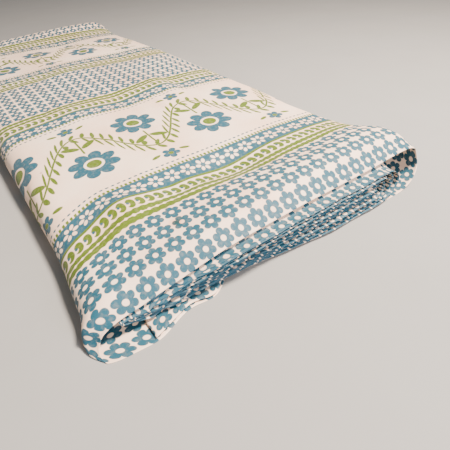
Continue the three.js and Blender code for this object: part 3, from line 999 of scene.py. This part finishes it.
class BundleColours(bpy.types.PropertyGroup):
    """Colours and scale of the print."""

    pitch: FloatProperty(
        name="Flower pitch", description="Distance between the small flowers' centres",
        default=0.01775, unit="LENGTH", precision=5)
    ground: FloatVectorProperty(
        name="Ground", description="Unprinted cotton", default=linear("#FFEDD6"), subtype="COLOR")
    ground_warm: FloatVectorProperty(
        name="Warm ground", description="Unprinted cotton where age has tinted it",
        default=linear("#F0BE9C"), subtype="COLOR")
    blue: FloatVectorProperty(
        name="Blue ink", description="Blue ink, thinly laid", default=linear("#225D70"),
        subtype="COLOR")
    blue_deep: FloatVectorProperty(
        name="Deep blue ink", description="Blue ink, thickly laid", default=linear("#12414F"),
        subtype="COLOR")
    green: FloatVectorProperty(
        name="Green ink", description="Olive green ink, thinly laid", default=linear("#5E7400"),
        subtype="COLOR")
    green_deep: FloatVectorProperty(
        name="Deep green ink", description="Olive green ink, thickly laid",
        default=linear("#445700"), subtype="COLOR")
    # Painted shade: the inner laps' print is darkened towards this colour, standing in for the shade
    # inside the bundle
    shadow: FloatVectorProperty(
        name="Painted inner shade", description="Tint of the laps inside the bundle",
        default=linear("#A9C6D2"), subtype="COLOR")


def cotton_for(context, name, shade):
    """The printed cotton in the chosen colours, made once for each name."""
    if name in bpy.data.materials:
        return bpy.data.materials[name]
    chosen = context.scene.bundle_colours
    names = ("ground", "ground_warm", "blue", "blue_deep", "green", "green_deep", "shadow")
    colours = {key: (*getattr(chosen, key), 1.0) for key in names}
    return printed_cotton(name, colours, chosen.pitch, shade)


def declare(piece, nodes):
    """Rides the sheet on the bundle and hides the parts that it replaces."""
    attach(piece, "root")
    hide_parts(*nodes)


class BUNDLE_OT_outer_lap(bpy.types.Operator):
    """Adds the outer lap, from the loose end round the left, top and right to the under-run"""

    bl_idname = "bundle.outer_lap"
    bl_label = "Outer lap"

    def execute(self, context):
        sizes = context.scene.bundle_sizes
        points, u, v = outer_lap_grid(sizes.height / MM, sizes.creases)
        cotton = cotton_for(context, "screen_printed_plain_weave_cotton", 0.0)
        piece = cloth_object("outer_lap_cloth", points, u, v, sizes.thickness, cotton)
        declare(piece, ["outer_lap"])
        return {"FINISHED"}


class BUNDLE_OT_turned_end(bpy.types.Operator):
    """Adds the raw end of the cloth, turned back on the loose end"""

    bl_idname = "bundle.turned_end"
    bl_label = "Turned end"

    def execute(self, context):
        sizes = context.scene.bundle_sizes
        points, u, v = turned_end_grid()
        cotton = cotton_for(context, "screen_printed_plain_weave_cotton", 0.0)
        piece = cloth_object("turned_end_cloth", points, u, v, sizes.thickness, cotton)
        declare(piece, ["turned_end"])
        return {"FINISHED"}


class BUNDLE_OT_inner_laps(bpy.types.Operator):
    """Adds the laps inside as one wound sheet"""

    bl_idname = "bundle.inner_laps"
    bl_label = "Inner laps"

    def execute(self, context):
        sizes = context.scene.bundle_sizes
        pitch = context.scene.bundle_colours.pitch / MM
        points, u, v = inner_laps_grid(sizes.height / MM, sizes.laps, pitch, LEDGE_COLUMN)
        # The laps inside take a small share of painted shade from the shadow colour
        cotton = cotton_for(context, "screen_printed_plain_weave_cotton_inside_painted_shade", 0.06)
        piece = cloth_object("inner_laps_cloth", points, u, v, sizes.thickness, cotton)
        declare(piece, ["second_turn", "third_turn", "layered_core"])
        return {"FINISHED"}


class BUNDLE_OT_stage(bpy.types.Operator):
    """Adds the pale floor, the soft lights and the camera"""

    bl_idname = "bundle.stage"
    bl_label = "Stage"

    def execute(self, context):
        scene = context.scene
        add_floor(scene)
        add_lights(scene)
        add_camera(scene)
        return {"FINISHED"}


def add_floor(scene):
    """A flat square of 7 m, just under the cloth."""
    half, depth = 3.5, -0.0002
    mesh = bpy.data.meshes.new("floor")
    corners = [(-half, -half, depth), (half, -half, depth), (half, half, depth), (-half, half, depth)]
    mesh.from_pydata(corners, [], [(0, 1, 2, 3)])
    mesh.materials.append(pale_floor())
    floor = bpy.data.objects.new("floor", mesh)
    scene.collection.objects.link(floor)


def add_lights(scene):
    """A warm key light high on the right, a low cool fill in front and a pale room."""
    lamps = (
        ("key", (0.54, -0.64, 1.18), 0.30, 76.0, "#FFF1E2"),
        ("low_fill", (0.16, -1.50, 0.34), 0.60, 21.0, "#F6F6FF"),
    )
    for name, place, size, power, colour in lamps:
        lamp = bpy.data.lights.new(name, "AREA")
        lamp.shape = "DISK"
        lamp.size = size
        lamp.energy = power
        lamp.color = linear(colour)
        holder = bpy.data.objects.new(name, lamp)
        toward = np.array((0.0, -0.15, 0.0)) - np.array(place)
        back = -toward / np.linalg.norm(toward)
        right = np.cross((0, 0, 1), back)
        right /= np.linalg.norm(right)
        axes = np.column_stack([right, np.cross(back, right), back])
        holder.matrix_world = Matrix.Translation(place) @ Matrix(axes.tolist()).to_4x4()
        scene.collection.objects.link(holder)
    world = bpy.data.worlds.new("pale_room")
    world.use_nodes = True
    world.node_tree.nodes["Background"].inputs["Color"].default_value = (*linear("#EDEFF2"), 1)
    world.node_tree.nodes["Background"].inputs["Strength"].default_value = 0.42
    scene.world = world


def add_camera(scene):
    """The photograph's view, solved from the flower grid: its place, its three axes and its lens."""
    camera = bpy.data.cameras.new("camera")
    camera.sensor_width = 36.0
    camera.lens = 31.32
    camera.clip_start = 0.02
    holder = bpy.data.objects.new("camera", camera)
    right, up, back = (0.8114, -0.5826, -0.0468), (0.3890, 0.4785, 0.7872), (-0.4363, -0.6569, 0.6149)
    axes = Matrix((right, up, back)).transposed().to_4x4()
    holder.matrix_world = Matrix.Translation((-0.1952, -0.6380, 0.2397)) @ axes
    scene.collection.objects.link(holder)
    scene.camera = holder


class BUNDLE_PT_panel(bpy.types.Panel):
    """The bundle's sizes, colours and pieces"""

    bl_label = "Printed cotton bundle"
    bl_space_type = "VIEW_3D"
    bl_region_type = "UI"
    bl_category = "Bundle"

    def draw(self, context):
        for group in (context.scene.bundle_sizes, context.scene.bundle_colours):
            # The first two properties are Blender's own
            for name in group.bl_rna.properties.keys()[2:]:
                self.layout.prop(group, name)
        for operator in OPERATORS:
            self.layout.operator(operator.bl_idname)


OPERATORS = (BUNDLE_OT_outer_lap, BUNDLE_OT_turned_end, BUNDLE_OT_inner_laps, BUNDLE_OT_stage)
CLASSES = (BundleSizes, BundleColours, *OPERATORS, BUNDLE_PT_panel)


def register():
    """Registers the classes and hangs the two groups of values on the scene."""
    for cls in CLASSES:
        bpy.utils.register_class(cls)
    bpy.types.Scene.bundle_sizes = PointerProperty(type=BundleSizes)
    bpy.types.Scene.bundle_colours = PointerProperty(type=BundleColours)


def unregister():
    """Takes the values and the classes away again."""
    del bpy.types.Scene.bundle_colours
    del bpy.types.Scene.bundle_sizes
    for cls in reversed(CLASSES):
        bpy.utils.unregister_class(cls)


def main():
    """Builds every piece in order."""
    register()
    bpy.ops.bundle.outer_lap()
    bpy.ops.bundle.turned_end()
    bpy.ops.bundle.inner_laps()
    bpy.ops.bundle.stage()


if __name__ == "__main__":
    main()
